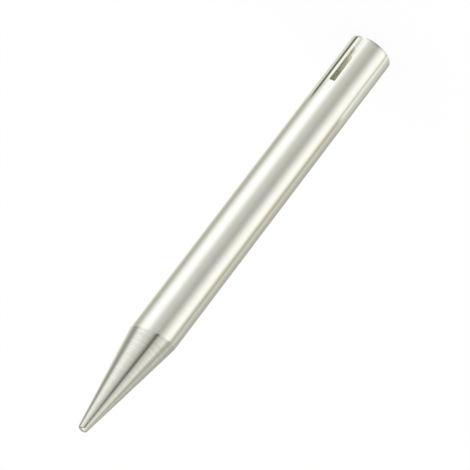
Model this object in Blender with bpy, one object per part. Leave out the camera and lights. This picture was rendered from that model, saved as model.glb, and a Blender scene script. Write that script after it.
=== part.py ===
"""A slip-on soldering tip: one turned bit with a blind bore, a saw slot through its wall and a long cone.

The tip stands on the flat rim of its open tail, with its axis along Z, its point up and its slot towards -Y.
The origin is on the surface it stands on, at the middle of the tail. All lengths are in metres.
"""

import math

import bmesh
import bpy
import numpy as np

# Shank: a tube that slips over the heater of the iron
BORE_DIAMETER = 0.0033
WALL = 0.0004
SHANK_LENGTH = 0.03388
BORE_FLOOR = 0.003
DRILL_POINT_ANGLE = math.radians(118)
RIM_CHAMFER = 0.00006

# Cone: turned in a second setting, so its axis runs a little off the shank's, nearly towards the slot's side
CONE_LENGTH = 0.01034
CONE_OFFSET = 0.00008
OFFSET_FROM_SLOT = math.radians(14)

# Nose: a rounding that meets a slightly domed face, which slopes by this much at its rim
NOSE_DIAMETER = 0.00082
NOSE_ROUND = 0.00022
FACE_SLOPE = math.radians(10)

# Slot: one saw cut through one wall, open at the tail
SLOT_WIDTH = 0.00057
SLOT_LENGTH = 0.00525

# Fineness of the turned surfaces
SIDES = 96
ROUND_STEPS = 4

# Colour of the bright plating
PLATING_COLOUR = (0.78, 0.77, 0.68, 1)
PLATING_ROUGHNESS = 0.18

# What follows from the driving sizes
BORE_RADIUS = BORE_DIAMETER / 2
SHANK_RADIUS = BORE_RADIUS + WALL
NOSE_RADIUS = NOSE_DIAMETER / 2
TAPER = math.atan((SHANK_RADIUS - NOSE_RADIUS) / CONE_LENGTH)
NOSE_Z = SHANK_LENGTH + CONE_LENGTH
BORE_END_Z = SHANK_LENGTH - BORE_FLOOR
CHAMFER = min(RIM_CHAMFER, WALL / 4)
ROUND = min(NOSE_ROUND, 0.7 * NOSE_RADIUS)
# Angles around the axis, counted from +X towards +Y
ANGLES = np.arange(SIDES) * 2 * math.pi / SIDES
SLOT_ANGLE = -math.pi / 2
OFFSET_ANGLE = SLOT_ANGLE + OFFSET_FROM_SLOT
# Where the cone's axis stands
CONE_X = CONE_OFFSET * math.cos(OFFSET_ANGLE)
CONE_Y = CONE_OFFSET * math.sin(OFFSET_ANGLE)


def ring(z, radius, centre_x=0.0, centre_y=0.0):
    """One turned ring: SIDES points at height z, round the shank's axis unless another centre is given."""
    x = centre_x + radius * np.cos(ANGLES)
    y = centre_y + radius * np.sin(ANGLES)
    return np.column_stack([x, y, np.broadcast_to(z, SIDES)])


def shoulder_ring():
    """The edge where the offset cone runs out of the shank: it slants, and is highest where the cone stands proud."""
    proud = CONE_OFFSET * np.cos(ANGLES - OFFSET_ANGLE)
    return ring(SHANK_LENGTH + proud / math.tan(TAPER), SHANK_RADIUS)


def nose_profile():
    """Radius and height of each ring from the cone's end to the face, and last the height of the face's middle."""
    centre_radius = NOSE_RADIUS + ROUND * math.tan(TAPER) - ROUND / math.cos(TAPER)
    first_turn = math.pi / 2 - TAPER
    profile = []
    for step in range(ROUND_STEPS + 1):
        turn = first_turn + (FACE_SLOPE - first_turn) * step / ROUND_STEPS
        profile.append((centre_radius + ROUND * math.sin(turn), NOSE_Z - ROUND * (1 - math.cos(turn))))
    face_radius, face_z = profile[-1]
    dome = face_radius * math.tan(FACE_SLOPE) / 2
    profile.append((face_radius / 2, face_z + 0.75 * dome))
    return profile, face_z + dome


def turned_rings():
    """All rings of the bit in order: down the bore, round the tail rim, up the shank and the cone."""
    bore_rings = [
        ring(BORE_END_Z, BORE_RADIUS),
        ring(CHAMFER, BORE_RADIUS),
        ring(0.0, BORE_RADIUS + CHAMFER),
    ]
    shank_rings = [
        ring(0.0, SHANK_RADIUS - CHAMFER),
        ring(CHAMFER, SHANK_RADIUS),
        shoulder_ring(),
    ]
    nose_rings = [ring(z, radius, CONE_X, CONE_Y) for radius, z in nose_profile()[0]]
    return bore_rings + shank_rings + nose_rings


def add_band(mesh, near, far):
    """A closed band of four-cornered faces between two rings of vertices."""
    for a, b, c, d in zip(near, near[1:] + near[:1], far[1:] + far[:1], far):
        mesh.faces.new((a, b, c, d))


def add_cap(mesh, rim, apex):
    """Closes one end of the turned surface with a fan from a ring of vertices to a point on its axis."""
    centre = mesh.verts.new(apex)
    for a, b in zip(rim, rim[1:] + rim[:1]):
        mesh.faces.new((a, b, centre))


def turned_mesh():
    """The whole turned bit before the slot: rings joined by bands, with a drill point inside and the nose outside."""
    mesh = bmesh.new()
    rings = [[mesh.verts.new(point) for point in points] for points in turned_rings()]
    for near, far in zip(rings, rings[1:]):
        add_band(mesh, near, far)
    drill_depth = BORE_RADIUS / math.tan(DRILL_POINT_ANGLE / 2)
    add_cap(mesh, rings[0], (0, 0, BORE_END_Z + drill_depth))
    add_cap(mesh, rings[-1], (CONE_X, CONE_Y, nose_profile()[1]))
    bmesh.ops.recalc_face_normals(mesh, faces=mesh.faces)
    return mesh


def plating_material():
    """Bright nickel-like plating over copper."""
    material = bpy.data.materials.new("bright_plating")
    material.use_nodes = True
    shader = material.node_tree.nodes["Principled BSDF"]
    shader.inputs["Base Color"].default_value = PLATING_COLOUR
    shader.inputs["Metallic"].default_value = 1
    shader.inputs["Roughness"].default_value = PLATING_ROUGHNESS
    return material


def add_object(name, mesh):
    """Puts a bmesh into the scene as a named object, shaded smooth with its real edges sharp."""
    data = bpy.data.meshes.new(name)
    mesh.to_mesh(data)
    mesh.free()
    data.shade_smooth()
    data.set_sharp_from_angle(angle=math.radians(20))
    obj = bpy.data.objects.new(name, data)
    bpy.context.scene.collection.objects.link(obj)
    return obj


def add_slot_cutter():
    """The saw's path: a bar from the bore's axis out through one wall, and down past the tail."""
    past = WALL
    mesh = bmesh.new()
    bmesh.ops.create_cube(mesh, size=1)
    depth = SHANK_RADIUS + past
    height = SLOT_LENGTH + past
    bmesh.ops.scale(mesh, vec=(depth, SLOT_WIDTH, height), verts=mesh.verts)
    bmesh.ops.translate(mesh, vec=(depth / 2, 0, height / 2 - past), verts=mesh.verts)
    cutter = add_object("slot_cutter", mesh)
    cutter.rotation_euler = (0, 0, SLOT_ANGLE)
    cutter.hide_render = True
    cutter.display_type = "WIRE"
    return cutter


def add_soldering_tip():
    """The finished bit: the turned body less the saw slot."""
    tip = add_object("soldering_tip", turned_mesh())
    tip.data.materials.append(plating_material())
    slot = tip.modifiers.new("saw_slot", "BOOLEAN")
    slot.operation = "DIFFERENCE"
    slot.solver = "EXACT"
    slot.object = add_slot_cutter()
    return tip


def main():
    for obj in list(bpy.data.objects):
        bpy.data.objects.remove(obj)
    add_soldering_tip()


main()
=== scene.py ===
"""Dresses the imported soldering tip: fine turned surfaces, plating, the studio it mirrors, and the camera.

The tip stands on its tail. Its axis is Z, its point is up and its saw slot faces -Y. Lengths are in metres.
"""

import math

import bmesh
import bpy
import numpy as np
from bpy.props import FloatProperty, FloatVectorProperty, IntProperty, PointerProperty
from bpy.types import Operator, Panel, PropertyGroup
from mathutils import Matrix, Vector


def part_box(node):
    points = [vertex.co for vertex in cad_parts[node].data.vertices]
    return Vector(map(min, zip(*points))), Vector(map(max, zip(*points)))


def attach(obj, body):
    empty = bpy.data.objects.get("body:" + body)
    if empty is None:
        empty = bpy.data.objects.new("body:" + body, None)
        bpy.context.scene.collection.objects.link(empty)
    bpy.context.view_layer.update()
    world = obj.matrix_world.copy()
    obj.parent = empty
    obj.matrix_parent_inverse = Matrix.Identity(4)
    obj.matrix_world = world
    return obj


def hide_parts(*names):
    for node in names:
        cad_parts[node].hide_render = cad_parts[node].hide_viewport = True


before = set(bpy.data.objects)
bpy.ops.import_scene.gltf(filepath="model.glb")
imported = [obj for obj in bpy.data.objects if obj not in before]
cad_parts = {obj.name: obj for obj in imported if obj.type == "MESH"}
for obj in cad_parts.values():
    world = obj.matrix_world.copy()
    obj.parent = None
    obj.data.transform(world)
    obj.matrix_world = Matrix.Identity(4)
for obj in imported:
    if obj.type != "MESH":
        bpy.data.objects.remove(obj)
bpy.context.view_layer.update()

bl_info = {
    "name": "Soldering tip dressing",
    "version": (1, 0, 0),
    "blender": (4, 5, 0),
    "location": "View3D > Sidebar > Soldering tip",
    "description": "Fine surfaces and finishes for a slotted soldering tip, with its studio and camera",
    "category": "Object",
}

NODE = "soldering_tip"
LOW_CORNER, HIGH_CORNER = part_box(NODE)

# Fineness of the surfaces: steps from one end of each to the other
RIM_STEPS = 5
SLOT_STEPS = 13
TUBE_STEPS = 39
BORE_STEPS = 11
WALL_STEPS = 3
NOSE_STEPS = 14
FACE_STEPS = 5
STEPS_PER_GROOVE = 6
FEWEST_ACROSS_SLOT = 4
SOFT_EDGE_SEGMENTS = 3
SOFT_EDGE_ANGLE = math.radians(50)
# Points closer than this are one
MERGE_DISTANCE = 1e-8

DRILL_POINT_ANGLE = math.radians(118)

# Turning marks: turns in one beat, how much of their depth the beat takes, and how much is lost at the nose
BEAT_TURNS = 7.3
BEAT_SHARE = 0.4
LOST_AT_NOSE = 0.7

# Round the shoulder, in offsets of the cone: how far outside the tube the cone runs on below it, and how far
# the taper's radius grows over the close rows below it, which the slanting edge dips into
RUN_ON = 8
EDGE_REACH = 1.2
# Where the surface starts to move from the shank's axis to the cone's, in run-ons below the shoulder: one
# run-on further up it is there
MOVES_FROM = 1.5


class TipSizes(PropertyGroup):
    """Sizes of the turned bit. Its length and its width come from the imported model."""

    length: FloatProperty(
        name="Length", description="From the tail rim to the end of the nose",
        default=HIGH_CORNER.z - LOW_CORNER.z, unit="LENGTH", precision=6,
    )
    shank_diameter: FloatProperty(
        name="Shank diameter", description="Outside of the plated tube",
        default=HIGH_CORNER.x - LOW_CORNER.x, unit="LENGTH", precision=6,
    )
    bore_diameter: FloatProperty(
        name="Bore diameter", description="Inside of the tube, which slips over the heater",
        default=0.0033, unit="LENGTH", precision=6,
    )
    # The bore's mouth is polished smoother and painted lighter, a painted reflection of the light at the open
    # end
    bore_mouth: FloatProperty(
        name="Bore mouth", description="Depth of the burnished lead-in at the open end of the bore",
        default=0.00069, unit="LENGTH", precision=6,
    )
    # The slot's faces near the tail are polished smoother and painted lighter, as painted light from the open
    # end
    sawn_mouth: FloatProperty(
        name="Slot mouth", description="How far up the slot's faces are burnished from the tail",
        default=0.0012, unit="LENGTH", precision=6,
    )
    bore_floor: FloatProperty(
        name="Bore floor", description="Solid metal between the full bore and the shoulder",
        default=0.003, unit="LENGTH", precision=6,
    )
    shank_length: FloatProperty(
        name="Shank length", description="From the tail rim to the shoulder",
        default=0.03388, unit="LENGTH", precision=6,
    )
    cone_length: FloatProperty(
        name="Cone length", description="From the shoulder to the end of the taper",
        default=0.01034, unit="LENGTH", precision=6,
    )
    cone_offset: FloatProperty(
        name="Cone offset", description="How far the cone's axis runs off the shank's",
        default=0.00008, unit="LENGTH", precision=6,
    )
    offset_from_slot: FloatProperty(
        name="Offset from slot", description="Side to which the cone runs off, counted from the slot",
        default=math.radians(14), unit="ROTATION",
    )
    nose_diameter: FloatProperty(
        name="Nose diameter", description="Across the blunt end of the cone",
        default=0.00082, unit="LENGTH", precision=6,
    )
    nose_round: FloatProperty(
        name="Nose rounding", description="Radius between the cone and the face of the nose",
        default=0.00022, unit="LENGTH", precision=6,
    )
    face_slope: FloatProperty(
        name="Face slope", description="How much the domed face of the nose slopes at its rim",
        default=math.radians(10), unit="ROTATION",
    )
    slot_width: FloatProperty(
        name="Slot width", description="Width of the saw cut",
        default=0.00057, unit="LENGTH", precision=6,
    )
    slot_length: FloatProperty(
        name="Slot length", description="Depth of the saw cut along the tube",
        default=0.00525, unit="LENGTH", precision=6,
    )
    rim_round: FloatProperty(
        name="Rim rounding", description="Radius on the outside of the tail rim",
        default=0.00005, unit="LENGTH", precision=6,
    )
    edge_round: FloatProperty(
        name="Edge rounding", description="Softening of the slot's and the bore's edges",
        default=0.000014, unit="LENGTH", precision=6,
    )
    shoulder_round: FloatProperty(
        name="Shoulder rounding", description="Softening of the edge between the shank and the cone",
        default=0.00001, unit="LENGTH", precision=6,
    )
    groove_pitch: FloatProperty(
        name="Groove pitch", description="Feed of the lathe tool along the cone for each turn",
        default=0.00013, unit="LENGTH", precision=6,
    )
    groove_depth: FloatProperty(
        name="Groove depth", description="Depth of the turning marks on the cone, just above the shoulder",
        default=0.0000012, unit="LENGTH", precision=8,
    )
    sides: IntProperty(
        name="Sides", description="Faces round the tube, apart from the width of the slot",
        default=120, min=24,
    )


class TipFinish(PropertyGroup):
    """Colours and roughnesses of the plated, bored and sawn surfaces."""

    plating: FloatVectorProperty(
        name="Plating", description="Bright nickel-like plating", subtype="COLOR",
        default=(0.78, 0.78, 0.68), min=0, max=1,
    )
    bore: FloatVectorProperty(
        name="Bore wall", description="Dull wall inside the tube", subtype="COLOR",
        default=(0.79, 0.78, 0.65), min=0, max=1,
    )
    sawn: FloatVectorProperty(
        name="Sawn faces", description="Cut faces of the slot", subtype="COLOR",
        default=(0.88, 0.86, 0.73), min=0, max=1,
    )
    shank_roughness: FloatProperty(
        name="Shank roughness", description="Roughness of the polished tube", default=0.10, min=0, max=1,
    )
    cone_roughness: FloatProperty(
        name="Cone roughness", description="Roughness of the satin cone", default=0.20, min=0, max=1,
    )
    bore_roughness: FloatProperty(
        name="Bore roughness", description="Roughness of the bore's wall", default=0.30, min=0, max=1,
    )
    bore_metal: FloatProperty(
        name="Bore metal", description="How metallic the bore's dull wall is", default=0.85, min=0, max=1,
    )
    sawn_roughness: FloatProperty(
        name="Sawn roughness", description="Roughness of the slot's faces", default=0.35, min=0, max=1,
    )


class StudioSettings(PropertyGroup):
    """Where the camera and the small cards stand, and the reach of the white floor."""

    view_bearing: FloatProperty(
        name="View bearing", description="Direction of the camera round the tip, 0 facing the slot",
        default=math.radians(-34.6), unit="ROTATION",
    )
    view_rise: FloatProperty(
        name="View rise", description="Height of the camera above the horizon, as an angle",
        default=math.radians(24.8), unit="ROTATION",
    )
    view_roll: FloatProperty(
        name="View roll", description="Turn of the camera about its own line of sight",
        default=math.radians(217.21), unit="ROTATION",
    )
    view_distance: FloatProperty(
        name="View distance", description="From the camera to the tip's middle",
        default=0.350, unit="LENGTH",
    )
    lens: FloatProperty(
        name="Lens", description="Focal length in millimetres", default=317.0, min=50,
    )
    aim_right: FloatProperty(
        name="Aim right", description="How far right of the tip's middle the camera points",
        default=0.000444, unit="LENGTH", precision=6,
    )
    aim_up: FloatProperty(
        name="Aim up", description="How far above the tip's middle, in the picture, the camera points",
        default=0.000133, unit="LENGTH", precision=6,
    )
    card_distance: FloatProperty(
        name="Card distance", description="From the tip's axis to each small card by the tail",
        default=0.0111, unit="LENGTH", precision=4,
    )
    floor_radius: FloatProperty(
        name="Floor radius", description="Reach of the white floor", default=1.5, unit="LENGTH",
    )


class Wire:
    """One output of a node tree that works in Python expressions: each operator adds its Math node."""

    def __init__(self, tree, socket=None):
        self.tree = tree
        self.socket = socket

    def node(self, kind, settings=None, inputs=None, output=0):
        """Adds a node: first its settings, then the values or links of its sockets, by name or number.

        Returns one of its outputs.
        """
        made = self.tree.nodes.new(kind)
        for name, value in (settings or {}).items():
            setattr(made, name, value)
        for name, value in (inputs or {}).items():
            if isinstance(value, Wire):
                self.tree.links.new(value.socket, made.inputs[name])
            else:
                made.inputs[name].default_value = value
        return Wire(self.tree, made.outputs[output] if made.outputs else None)

    def math(self, operation, *values):
        return self.node("ShaderNodeMath", {"operation": operation}, dict(enumerate(values)))

    def __add__(self, other):
        return self.math("ADD", self, other)

    __radd__ = __add__

    def __sub__(self, other):
        return self.math("SUBTRACT", self, other)

    def __rsub__(self, other):
        return self.math("SUBTRACT", other, self)

    def __mul__(self, other):
        return self.math("MULTIPLY", self, other)

    __rmul__ = __mul__

    def fade(self, start, end):
        """0 up to start and 1 from end on, with a smooth step between; start may be above end."""
        settings = {"interpolation_type": "SMOOTHSTEP"}
        inputs = {"Value": self, "From Min": start, "From Max": end}
        return self.node("ShaderNodeMapRange", settings, inputs)

    def along(self, direction):
        """How far a place or a ray reaches in a direction: their dot product."""
        settings = {"operation": "DOT_PRODUCT"}
        return self.node("ShaderNodeVectorMath", settings, {0: self, 1: direction}, output=1)

    def stretched(self, scale):
        """A place with X, Y and Z each multiplied by its own scale."""
        return self.node("ShaderNodeVectorMath", {"operation": "MULTIPLY"}, {0: self, 1: scale})

    def noise(self, scale=1.0, detail=2.0):
        """Soft random spots at a place, about this many to a metre, with finer ones for more detail."""
        return self.node("ShaderNodeTexNoise", None, {"Vector": self, "Scale": scale, "Detail": detail})


def new_tree(owner):
    """Empties a material's or the world's node tree and returns it as a Wire."""
    owner.use_nodes = True
    owner.node_tree.nodes.clear()
    return Wire(owner.node_tree)


def object_place(tree):
    """Each surface point's place on its object."""
    return tree.node("ShaderNodeTexCoord", output=3)


def shaded(tree, colour, shade):
    """A plain colour made lighter or darker over the surface."""
    return tree.node("ShaderNodeVectorMath", {"operation": "SCALE"}, {0: colour, "Scale": shade})


def slot_columns(radius, sizes):
    """Angles of the grid's columns on a tube of this radius: round from the slot's right side, then across.

    Outside the slot the angles are even. Across it the columns are even in X, so both cut faces are flat.
    """
    half = sizes.slot_width / 2
    edge = math.asin(half / radius)
    round_tube = np.linspace(edge, 2 * math.pi - edge, sizes.sides + 1)
    share = sizes.slot_width / sizes.shank_diameter / math.pi
    across_count = max(FEWEST_ACROSS_SLOT, round(sizes.sides * share))
    across = np.arcsin(np.linspace(-half, half, across_count + 1) / radius) + 2 * math.pi
    return round_tube - math.pi / 2, across - math.pi / 2


def cone_taper(sizes):
    """How much the cone's radius grows for each metre below its end, and the height of that end."""
    slope = (sizes.shank_diameter - sizes.nose_diameter) / 2 / sizes.cone_length
    return slope, sizes.shank_length + sizes.cone_length


def cone_axis(sizes):
    """Where the cone's axis stands: X and Y of the offset, turned from the slot's side."""
    side = sizes.offset_from_slot - math.pi / 2
    return sizes.cone_offset * math.cos(side), sizes.cone_offset * math.sin(side)


def groove(angle, z, sizes):
    """Depth of the turning marks: a helix of one turn per pitch with a slower beat, shallower at the nose."""
    turns = z / sizes.groove_pitch - angle / (2 * math.pi)
    beat = 1 - BEAT_SHARE + BEAT_SHARE * np.sin(2 * math.pi * z / sizes.groove_pitch / BEAT_TURNS)
    wave = 0.5 - 0.5 * np.cos(2 * math.pi * turns)
    run = np.clip((z - sizes.shank_length) / (sizes.length - sizes.shank_length), 0, 1)
    return sizes.groove_depth * beat * wave * (1 - LOST_AT_NOSE * run)


def outer_points(angle, z, sizes):
    """The outside as a function of angle and height.

    The cone's radius is the nose's plus the taper times the distance to the nose. The offset cone runs on
    down the whole tube, wider than it, and is drawn in to the tube's radius wherever it would stand proud: a
    soft minimum of the two radii rounds the shoulder. The tail rim is a quarter round: below the height r of
    its radius, r - sqrt(r^2 - (r - z)^2) is taken off.
    """
    slope, nose_z = cone_taper(sizes)
    radius = sizes.shank_diameter / 2
    reach = RUN_ON * sizes.cone_offset
    shift = np.clip((z - sizes.shank_length) / (reach / slope) + MOVES_FROM, 0, 1)
    proud = np.minimum(sizes.nose_diameter / 2 + slope * (nose_z - z), radius + reach)
    axis_x, axis_y = cone_axis(sizes)
    x = proud * np.cos(angle) + shift * axis_x
    y = proud * np.sin(angle) + shift * axis_y
    length = np.hypot(x, y)
    soft = sizes.shoulder_round
    drawn = 0.5 * (length + radius - np.sqrt((length - radius) ** 2 + soft**2))
    cut = groove(angle, z, sizes) * np.clip((radius - length) / soft, 0, 1)
    rim = sizes.rim_round
    taken_off = rim - np.sqrt(rim**2 - np.clip(rim - z, 0, rim) ** 2)
    scale = (drawn - cut - taken_off) / length
    return np.stack([x * scale, y * scale, np.broadcast_to(z, x.shape)], axis=-1)


def nose_points(angle, sizes):
    """The rounded nose: an arc from the cone's tangent to the face's slope, then a shallow dome."""
    slope, nose_z = cone_taper(sizes)
    taper = math.atan(slope)
    rounding = sizes.nose_round
    centre_radius = sizes.nose_diameter / 2 + rounding * math.tan(taper) - rounding / math.cos(taper)
    turn = np.linspace(math.pi / 2 - taper, sizes.face_slope, NOSE_STEPS + 1)
    round_radius = centre_radius + rounding * np.sin(turn)
    round_z = nose_z - rounding * (1 - np.cos(turn))
    dome = round_radius[-1] * math.tan(sizes.face_slope) / 2
    inward = np.linspace(1, 0, FACE_STEPS + 1)[1:]
    radius = np.concatenate([round_radius, round_radius[-1] * inward])[:, None]
    z = np.concatenate([round_z, round_z[-1] + dome * (1 - inward**2)])[:, None]
    axis_x, axis_y = cone_axis(sizes)
    x = radius * np.cos(angle) + axis_x
    y = radius * np.sin(angle) + axis_y
    return np.stack([x, y, np.broadcast_to(z, x.shape)], axis=-1)


def bore_points(angle, z, sizes):
    """The inside: a cylinder of the bore's radius."""
    radius = sizes.bore_diameter / 2
    x = radius * np.cos(angle) + 0 * z
    return np.stack([x, radius * np.sin(angle) + 0 * z, np.broadcast_to(z, x.shape)], axis=-1)


def between(near, far):
    """The wall between two rows of points: straight steps from one to the other."""
    share = np.linspace(0, 1, WALL_STEPS + 1)[:, None, None]
    return near[None] * (1 - share) + far[None] * share


def tip_patches(sizes):
    """All surfaces of the tip as grids of points, each with the number of its material.

    Material 0 is the plating, 1 the wall of the bore and 2 the sawn faces. The bore has even rows of its
    own beside the slot: rows as close as the rim's would leave no room for its soft edge.
    """
    slope, nose_z = cone_taper(sizes)
    shoulder_z = sizes.shank_length - EDGE_REACH * sizes.cone_offset / slope
    cone_end = nose_z - sizes.nose_round * (1 - math.sin(math.atan(slope)))
    cone_steps = math.ceil((cone_end - shoulder_z) / (sizes.groove_pitch / STEPS_PER_GROOVE))
    cone_z = np.linspace(shoulder_z, cone_end, cone_steps + 1)[:, None]
    rim_z = sizes.rim_round * (1 - np.cos(np.linspace(0, math.pi / 2, RIM_STEPS + 1)))
    beside_slot = np.linspace(sizes.rim_round, sizes.slot_length, SLOT_STEPS + 1)[1:]
    below_z = np.concatenate([rim_z, beside_slot])[:, None]
    inside_z = np.linspace(0, sizes.slot_length, len(below_z))[:, None]
    tube_z = np.linspace(sizes.slot_length, shoulder_z, TUBE_STEPS + 1)[:, None]
    bore_end = sizes.shank_length - sizes.bore_floor
    bore_z = np.linspace(sizes.slot_length, bore_end, BORE_STEPS + 1)[:, None]

    outer_round, outer_across = slot_columns(sizes.shank_diameter / 2, sizes)
    inner_round, inner_across = slot_columns(sizes.bore_diameter / 2, sizes)
    outer_all = np.concatenate([outer_round, outer_across[1:]])
    inner_all = np.concatenate([inner_round, inner_across[1:]])

    outer_below = outer_points(outer_round, below_z, sizes)
    inner_below = bore_points(inner_round, inside_z, sizes)
    drill_point = np.zeros((1, inner_all.size, 3))
    drill_point[..., 2] = bore_end + sizes.bore_diameter / 2 / math.tan(DRILL_POINT_ANGLE / 2)
    slot_z = np.array([[sizes.slot_length]])
    outer_slot_end = outer_points(outer_across, slot_z, sizes)[0]
    inner_slot_end = bore_points(inner_across, slot_z, sizes)[0]
    return [
        (outer_below, 0),
        (outer_points(outer_all, tube_z, sizes), 0),
        (np.concatenate([outer_points(outer_all, cone_z, sizes), nose_points(outer_all, sizes)[1:]]), 0),
        (between(outer_below[0], inner_below[0]), 0),
        (inner_below, 1),
        (np.concatenate([bore_points(inner_all, bore_z, sizes), drill_point]), 1),
        (between(outer_below[:, 0], inner_below[:, 0]), 2),
        (between(outer_below[:, -1], inner_below[:, -1]), 2),
        (between(outer_slot_end, inner_slot_end), 2),
    ]


def mesh_of(name, patches):
    """Joins grids of points into one mesh: a face for each cell, doubles merged, all faces pointing out."""
    points = np.concatenate([patch.reshape(-1, 3) for patch, _ in patches])
    faces = []
    materials = []
    first = 0
    for patch, material in patches:
        rows, columns = patch.shape[:2]
        index = first + np.arange(rows * columns).reshape(rows, columns)
        corners = [index[:-1, :-1], index[:-1, 1:], index[1:, 1:], index[1:, :-1]]
        cells = np.stack(corners, axis=-1).reshape(-1, 4)
        faces.append(cells)
        materials.append(np.full(len(cells), material))
        first += rows * columns
    mesh = bpy.data.meshes.new(name)
    mesh.from_pydata(points, [], np.concatenate(faces))
    mesh.polygons.foreach_set("material_index", np.concatenate(materials).astype(np.int32))
    work = bmesh.new()
    work.from_mesh(mesh)
    bmesh.ops.remove_doubles(work, verts=work.verts, dist=MERGE_DISTANCE)
    bmesh.ops.recalc_face_normals(work, faces=work.faces)
    work.to_mesh(mesh)
    work.free()
    mesh.shade_smooth()
    return mesh


# Plating: distances over which the look changes, above the shoulder's edge and below the end of the nose
EDGE_BLUR = 0.00003
MARKED_LENGTH = 0.005
SATIN_LENGTH = 0.006
MOTTLED_FROM = 0.008
MOTTLED_FULL = 0.003
NOSE_FROM = 0.0006
NOSE_FULL = 0.0003
# Plating: spots to a metre; the turning lines are stretched round the axis
LINE_SCALE = (120, 120, 9000)
CLOUD_SCALE = 700.0
MOTTLE_SCALE = 6000.0
# Plating: how much the clouds, lines and mottling change its roughness and its tone
CLOUD_ROUGHNESS = 0.05
LINE_ROUGHNESS = 0.2
SATIN_ROUGHNESS = 0.06
CLOUD_TONE = 0.06
LINE_TONE = 0.25
SHOULDER_LINE_TONE = 0.3
MOTTLE_TONE = 0.22
# Plating: how much of the lines' relief is left on the polished shank
SHANK_RELIEF = 0.1
PLATING_BUMP = 0.35

# Bored and sawn metal: spots to a metre, and how much they change the tone and the roughness
DULL_LINE_SCALE = (400, 400, 7000)
DULL_CLOUD_SCALE = 1800.0
DULL_LINE_TONE = 0.3
DULL_CLOUD_TONE = 0.5
DULL_CLOUD_ROUGHNESS = 0.2
DULL_BUMP = 0.5
# Bored and sawn metal: its tone by the tail, and the painted light added deeper in against the shade there,
# fading in between two heights
TAIL_TONE = 0.92
DEEP_PAINTED_LIGHT = 0.27
DEEP_FROM = 0.001
DEEP_FULL = 0.004
# Bored and sawn metal: the painted light added at the mouth by the open tail, how much smoother the polished
# mouth is, and how softly both end
MOUTH_PAINTED_LIGHT = 0.22
MOUTH_POLISH = 0.7
MOUTH_BLUR = 0.00012

# Height of the tool lines' relief
RELIEF = 0.000004


def plating_material(sizes, finish):
    """Polished plating on the shank, satin over turning marks on the cone, brighter again at the nose."""
    material = bpy.data.materials.new("bright_plating")
    tree = new_tree(material)
    place = object_place(tree)
    slope, nose_z = cone_taper(sizes)
    axis_x, axis_y = cone_axis(sizes)
    slant = 1 / slope / (sizes.shank_diameter / 2)
    z = place.along((0, 0, 1))
    above_edge = place.along((-axis_x * slant, -axis_y * slant, 1)) - sizes.shank_length
    on_cone = above_edge.fade(-EDGE_BLUR, EDGE_BLUR)
    near_edge = above_edge.fade(MARKED_LENGTH, 0)
    at_nose = z.fade(nose_z - NOSE_FROM, nose_z - NOSE_FULL)
    satin = z.fade(nose_z - SATIN_LENGTH, nose_z) * SATIN_ROUGHNESS
    satin = satin + (finish.cone_roughness - finish.shank_roughness)

    lines = place.stretched(LINE_SCALE).noise(detail=3.0)
    streaks = lines - 0.5
    cloud = place.noise(CLOUD_SCALE, detail=4.0) - 0.5
    mottle = place.noise(MOTTLE_SCALE) - 0.5
    roughness = finish.shank_roughness + cloud * CLOUD_ROUGHNESS
    roughness = roughness + on_cone * (satin * (1.0 - at_nose) + streaks * LINE_ROUGHNESS)
    marks = on_cone * streaks * (near_edge * SHOULDER_LINE_TONE + LINE_TONE)
    mottled = on_cone * z.fade(nose_z - MOTTLED_FROM, nose_z - MOTTLED_FULL)
    shade = (1.0 - cloud * CLOUD_TONE) * (1.0 - marks - mottled * mottle * MOTTLE_TONE)
    relief = lines * (on_cone * (1 - SHANK_RELIEF) + SHANK_RELIEF)
    bump = tree.node("ShaderNodeBump", None, {
        "Strength": PLATING_BUMP, "Distance": RELIEF, "Height": relief,
    })
    shader = tree.node("ShaderNodeBsdfPrincipled", None, {
        "Base Color": shaded(tree, finish.plating, shade), "Metallic": 1.0, "Roughness": roughness,
        "Normal": bump,
    })
    tree.node("ShaderNodeOutputMaterial", None, {"Surface": shader})
    return material


def dull_material(name, colour, roughness, metallic, mouth):
    """Bare metal, bored or sawn: blotchy, with fine tool lines. From the tail up to a height it is smoother
    and painted lighter, a painted reflection of the light at the open end; deeper in it is painted lighter
    against the shade there.
    """
    material = bpy.data.materials.new(name)
    tree = new_tree(material)
    place = object_place(tree)
    lines = place.stretched(DULL_LINE_SCALE).noise()
    cloud = place.noise(DULL_CLOUD_SCALE, detail=4.0) - 0.5
    z = place.along((0, 0, 1))
    # Smoother and painted lighter from the tail up to the mouth's height: painted light standing for the light
    # coming in at the open end
    polished_painted_bright = z.fade(mouth + MOUTH_BLUR, mouth - MOUTH_BLUR)
    # Painted light: lighter deep inside the bore and slot, lifting the shade that the bounces leave there, and
    # lighter again at the mouth
    painted_light_by_height = z.fade(DEEP_FROM, DEEP_FULL) * DEEP_PAINTED_LIGHT + polished_painted_bright * MOUTH_PAINTED_LIGHT + TAIL_TONE
    shade = (1.0 - cloud * DULL_CLOUD_TONE - (lines - 0.5) * DULL_LINE_TONE) * painted_light_by_height
    roughness = (cloud * DULL_CLOUD_ROUGHNESS + roughness) * (1.0 - polished_painted_bright * MOUTH_POLISH)
    bump = tree.node("ShaderNodeBump", None, {
        "Strength": DULL_BUMP, "Distance": RELIEF, "Height": lines,
    })
    shader = tree.node("ShaderNodeBsdfPrincipled", None, {
        "Base Color": shaded(tree, colour, shade), "Metallic": metallic, "Roughness": roughness,
        "Normal": bump,
    })
    tree.node("ShaderNodeOutputMaterial", None, {"Surface": shader})
    return material


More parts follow.
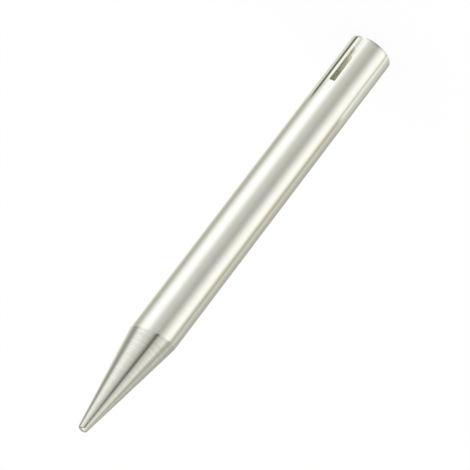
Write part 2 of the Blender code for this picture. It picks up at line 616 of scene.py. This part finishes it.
# The studio as the plating mirrors it: soft boxes, flags and walls round the tip. Each has the bearings at
# which it begins, is full, is full until, and ends, in degrees to the right of the camera, and its
# brightness.
TABLE_TONE = 0.57
TABLE_CARDS = [
    (-230, -220, -162, -122, 1.08),
    (-118, -62, -34, 14, 0.80),
    (-114, -66, -55, -22, 1.32),
    (10, 58, 67, 92, 1.26),
    (92, 103, 106, 130, 0.75),
    (118, 150, 190, 200, 0.50),
]
WALL_TONE = 0.49
WALL_CARDS = [
    (-230, -220, -160, -112, 1.00),
    (-130, -112, -101, -84, 0.36),
    (-96, -70, -26, 4, 0.79),
    (-96, -66, -56, -24, 1.08),
    (-5, 12, 15, 26, 0.10),
    (14, 28, 58, 78, 0.68),
    (26, 58, 61, 79, 0.95),
    (90, 104, 107, 124, 0.70),
]
HIGH_TONE = 0.5
HIGH_CARDS = [
    (-100, -78, -44, -14, 1.35),
    (14, 44, 78, 100, 1.35),
]
CEILING_TONE = 0.45
FLOOR_TONE = 0.55
# How much darker the shade under the table's edge is
TABLE_SHADE = 0.5
# Heights in degrees at which one part of the studio fades into the next
TABLE_TO_WALL = (-23, -18)
WALL_TO_HIGH = (2, 12)
HIGH_TO_CEILING = (28, 38)
TABLE_TO_SHADE = (-30, -42)
SHADE_TO_FLOOR = (-50, -62)

# The light overhead: its brightness, and its middle and edges as parts of a ray's length to the right and
# towards the camera
OVERHEAD_TONE = 1.35
OVERHEAD_MIDDLE = 0.17
OVERHEAD_SIDES = (0.38, 0.2)
OVERHEAD_BACK = (-0.85, -0.7)
OVERHEAD_FRONT = (0.65, 0.5)

# Tints of the light: bearings as the cards have them, what is added to its green and to its blue, and how
# much of that is lost above the table
TINTS = [
    ((-112, -72, -55, -20), 0.0, 0.1, 0.6),
    ((62, 90, 95, 140), -0.03, -0.12, 0.5),
    ((15, 35, 60, 85), 0.0, 0.045, 1.0),
    ((-230, -220, -112, -88), 0.0, -0.04, 0.0),
]

# Two small cards by the tail: name, bearing, reach to the left and to the right, top, how much lower the
# top is on the right, and tones from left to right as (distance from the middle, brightness) pairs
SMALL_CARDS = [
    (
        "left_card", -105.2, 0.0058, 0.0058, 0.00295, 0.0023,
        [(-0.0021, 0.87), (-0.0008, 0.18), (0.0012, 0.18), (0.0027, 1.25)],
    ),
    ("right_card", 92.0, 0.0029, 0.009, 0.00338, 0.0, [(-0.0015, 1.06), (0.0035, 0.70)]),
]
# Where their tops drop, the share of their reach over which they are full, the softness of their tops, how
# far they go on below the floor, in heights of the top, and the steps of their grids
DROP_FROM = 0.0016
DROP_FULL = 0.0026
FULL_SHARE = 0.6
TOP_BLUR = 0.0013
BELOW_FLOOR = 2
CARD_STEPS = 4

# How much of the white floor is flat white to the camera, and not lit
FLAT_WHITE = 0.88
FLOOR_SIDES = 64
FLOOR_RINGS = 8

# Nearest and farthest distance that the camera shows
CAMERA_CLIP = (0.01, 10)


def cover(bearing, begins, full_from, full_to, ends):
    """1 on a card and 0 beside it, with soft edges."""
    return bearing.fade(begins, full_from) * bearing.fade(ends, full_to)


def card_sum(bearing, tone, cards):
    """One ring of the studio: each card in turn is laid over the tone behind it."""
    for *edges, brightness in cards:
        tone = tone + cover(bearing, *edges) * (brightness - tone)
    return tone


def card_directions(settings, bearing):
    """Level directions outwards at a bearing from the camera, and to the right of that."""
    turned = settings.view_bearing - bearing
    outwards = Vector((math.sin(turned), -math.cos(turned), 0))
    return outwards, Vector((-math.cos(turned), -math.sin(turned), 0))


def make_world(settings):
    """Plain white light, except in the plating, which mirrors cards at bearings from the camera.

    The Mix node's sockets 0, 6 and 7 are its factor and its two colours.
    """
    world = bpy.data.worlds.new("studio")
    bpy.context.scene.world = world
    tree = new_tree(world)
    ray = tree.node("ShaderNodeTexCoord")
    ahead, right = card_directions(settings, 0.0)
    to_camera = ray.along(ahead)
    to_right = ray.along(right)
    bearing = tree.math("ARCTAN2", to_right, to_camera) * math.degrees(1)
    rise = tree.math("ARCSINE", ray.along((0, 0, 1))) * math.degrees(1)

    above_table = rise.fade(*TABLE_TO_WALL)
    at_ceiling = rise.fade(*HIGH_TO_CEILING)
    table = card_sum(bearing, TABLE_TONE, TABLE_CARDS)
    wall = card_sum(bearing, WALL_TONE, WALL_CARDS)
    high = card_sum(bearing, HIGH_TONE, HIGH_CARDS)
    level = table + above_table * (wall - table)
    level = level + rise.fade(*WALL_TO_HIGH) * (high - level)
    level = level + at_ceiling * (CEILING_TONE - level)
    from_middle = tree.math("ABSOLUTE", to_right - OVERHEAD_MIDDLE)
    overhead = from_middle.fade(*OVERHEAD_SIDES) * at_ceiling
    overhead = overhead * to_camera.fade(*OVERHEAD_BACK) * to_camera.fade(*OVERHEAD_FRONT)
    level = level + overhead * (OVERHEAD_TONE - level)
    level = level * (1.0 - rise.fade(*TABLE_TO_SHADE) * TABLE_SHADE)
    level = level + rise.fade(*SHADE_TO_FLOOR) * (FLOOR_TONE - level)

    green = 1.0
    blue = 1.0
    for edges, green_gain, blue_gain, lost_above in TINTS:
        tint = cover(bearing, *edges) * (1.0 - above_table * lost_above)
        green = green + tint * green_gain
        blue = blue + tint * blue_gain
    tinted = tree.node("ShaderNodeCombineXYZ", None, {0: level, 1: level * green, 2: level * blue})
    mirrored = tree.node("ShaderNodeLightPath", output=3)
    colour = tree.node(
        "ShaderNodeMix", {"data_type": "RGBA"}, {0: mirrored, 6: (1, 1, 1, 1), 7: tinted}, output=2
    )
    light = tree.node("ShaderNodeBackground", None, {"Color": colour, "Strength": 1.0})
    tree.node("ShaderNodeOutputWorld", None, {"Surface": light})


def floor_material():
    """White floor: nearly flat white to the camera, with just enough daylight to keep the tip's shadow."""
    material = bpy.data.materials.new("white_floor")
    tree = new_tree(material)
    camera_ray = tree.node("ShaderNodeLightPath")
    lit = tree.node("ShaderNodeBsdfDiffuse", None, {"Color": (1, 1, 1, 1)})
    flat = tree.node("ShaderNodeEmission", None, {"Color": (1, 1, 1, 1), "Strength": 1.0})
    mixed = tree.node("ShaderNodeMixShader", None, {0: camera_ray * FLAT_WHITE, 1: lit, 2: flat})
    tree.node("ShaderNodeOutputMaterial", None, {"Surface": mixed})
    return material


def make_floor(settings):
    """A plain round floor. Mirror rays pass it by, so that the plating shows the studio round the tip."""
    angle = np.linspace(0, 2 * math.pi, FLOOR_SIDES + 1)[None]
    radius = np.linspace(0, settings.floor_radius, FLOOR_RINGS + 1)[:, None]
    x = radius * np.cos(angle)
    points = np.stack([x, radius * np.sin(angle), np.zeros_like(x)], axis=-1)
    floor = bpy.data.objects.new("floor", mesh_of("floor", [(points, 0)]))
    bpy.context.scene.collection.objects.link(floor)
    floor.data.materials.append(floor_material())
    floor.visible_glossy = False


def card_material(name, aside, left, right, top, drop, tones):
    """Glowing tones from left to right, which fade out towards the card's sides and its top."""
    material = bpy.data.materials.new(name)
    tree = new_tree(material)
    place = object_place(tree)
    to_side = place.along(aside)
    height = place.along((0, 0, 1)) + to_side.fade(DROP_FROM, DROP_FULL) * drop
    shown = to_side.fade(-left, -FULL_SHARE * left) * to_side.fade(right, FULL_SHARE * right)
    shown = shown * height.fade(top, top - TOP_BLUR)
    tone = tones[0][1]
    for (start, before), (end, after) in zip(tones, tones[1:]):
        tone = tone + to_side.fade(start, end) * (after - before)
    clear = tree.node("ShaderNodeBsdfTransparent")
    glow = tree.node("ShaderNodeEmission", None, {"Color": (1, 1, 1, 1), "Strength": tone})
    mixed = tree.node("ShaderNodeMixShader", None, {0: shown, 1: clear, 2: glow})
    tree.node("ShaderNodeOutputMaterial", None, {"Surface": mixed})
    return material


def make_card(settings, name, bearing, left, right, top, drop, tones):
    """A small upright card low beside the tail, which only the plating shows.

    It is a flat grid at the cards' distance from the axis: straight steps from its left side to its right,
    and from below the floor up to its top.
    """
    outwards, aside = card_directions(settings, math.radians(bearing))
    across = np.linspace(-left, right, CARD_STEPS + 1)[None, :, None] * np.array(aside)
    upwards = np.linspace(-BELOW_FLOOR * top, top, CARD_STEPS + 1)[:, None, None] * np.array([0, 0, 1])
    points = across + np.array(outwards) * settings.card_distance + upwards
    card = bpy.data.objects.new(name, mesh_of(name, [(points, 0)]))
    bpy.context.scene.collection.objects.link(card)
    card.data.materials.append(card_material(name, aside, left, right, top, drop, tones))
    card.visible_camera = False
    card.visible_diffuse = False
    card.visible_shadow = False


def make_camera(sizes, settings):
    """A long lens that looks down on the standing tip, rolled so that its point is at the lower left."""
    bearing, rise = settings.view_bearing, settings.view_rise
    back = Vector((math.sin(bearing) * math.cos(rise), -math.cos(bearing) * math.cos(rise), math.sin(rise)))
    level_right = Vector((0, 0, 1)).cross(back).normalized()
    level_up = back.cross(level_right)
    right = level_right * math.cos(settings.view_roll) + level_up * math.sin(settings.view_roll)
    up = back.cross(right)
    middle = Vector((0, 0, sizes.length / 2))
    aim = middle + right * settings.aim_right + up * settings.aim_up
    camera = bpy.data.objects.new("camera", bpy.data.cameras.new("camera"))
    bpy.context.scene.collection.objects.link(camera)
    camera.data.lens = settings.lens
    camera.data.clip_start, camera.data.clip_end = CAMERA_CLIP
    turn = Matrix((right, up, back)).transposed().to_4x4()
    camera.matrix_world = Matrix.Translation(aim + back * settings.view_distance) @ turn
    bpy.context.scene.camera = camera


class OBJECT_OT_dress_soldering_tip(Operator):
    """Make the finely turned tip and let it stand for the plain one."""

    bl_idname = "object.dress_soldering_tip"
    bl_label = "Dress the soldering tip"

    def execute(self, context):
        sizes = context.scene.tip_sizes
        finish = context.scene.tip_finish
        tip = bpy.data.objects.new("turned_tip", mesh_of("turned_tip", tip_patches(sizes)))
        context.scene.collection.objects.link(tip)
        bore = dull_material(
            "bore_wall", finish.bore, finish.bore_roughness, finish.bore_metal, sizes.bore_mouth
        )
        sawn = dull_material("sawn_face", finish.sawn, finish.sawn_roughness, 1.0, sizes.sawn_mouth)
        for material in (plating_material(sizes, finish), bore, sawn):
            tip.data.materials.append(material)
        edges = tip.modifiers.new("soft_edges", "BEVEL")
        edges.width = sizes.edge_round
        edges.segments = SOFT_EDGE_SEGMENTS
        edges.limit_method = "ANGLE"
        edges.angle_limit = SOFT_EDGE_ANGLE
        edges.harden_normals = True
        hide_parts(NODE)
        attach(tip, "root")
        return {"FINISHED"}


class SCENE_OT_set_up_studio(Operator):
    """Make the studio's light, the white floor, the small cards and the camera."""

    bl_idname = "scene.set_up_studio"
    bl_label = "Set up the studio"

    def execute(self, context):
        settings = context.scene.studio_settings
        make_world(settings)
        make_floor(settings)
        for card in SMALL_CARDS:
            make_card(settings, *card)
        make_camera(context.scene.tip_sizes, settings)
        context.scene.view_settings.view_transform = "Standard"
        return {"FINISHED"}


class VIEW3D_PT_soldering_tip(Panel):
    """Sizes, finishes and steps of the soldering tip."""

    bl_label = "Soldering tip"
    bl_space_type = "VIEW_3D"
    bl_region_type = "UI"
    bl_category = "Soldering tip"

    def draw(self, context):
        for group in (context.scene.tip_sizes, context.scene.tip_finish, context.scene.studio_settings):
            box = self.layout.box()
            for name in group.__annotations__:
                box.prop(group, name)
        for operator in OPERATORS:
            self.layout.operator(operator.bl_idname)


GROUPS = {"tip_sizes": TipSizes, "tip_finish": TipFinish, "studio_settings": StudioSettings}
OPERATORS = [SCENE_OT_set_up_studio, OBJECT_OT_dress_soldering_tip]


def register():
    for name, group in GROUPS.items():
        bpy.utils.register_class(group)
        setattr(bpy.types.Scene, name, PointerProperty(type=group))
    for operator in OPERATORS:
        bpy.utils.register_class(operator)
    bpy.utils.register_class(VIEW3D_PT_soldering_tip)


def unregister():
    bpy.utils.unregister_class(VIEW3D_PT_soldering_tip)
    for operator in reversed(OPERATORS):
        bpy.utils.unregister_class(operator)
    for name, group in GROUPS.items():
        delattr(bpy.types.Scene, name)
        bpy.utils.unregister_class(group)


def main():
    register()
    bpy.ops.scene.set_up_studio()
    bpy.ops.object.dress_soldering_tip()


if __name__ == "__main__":
    main()
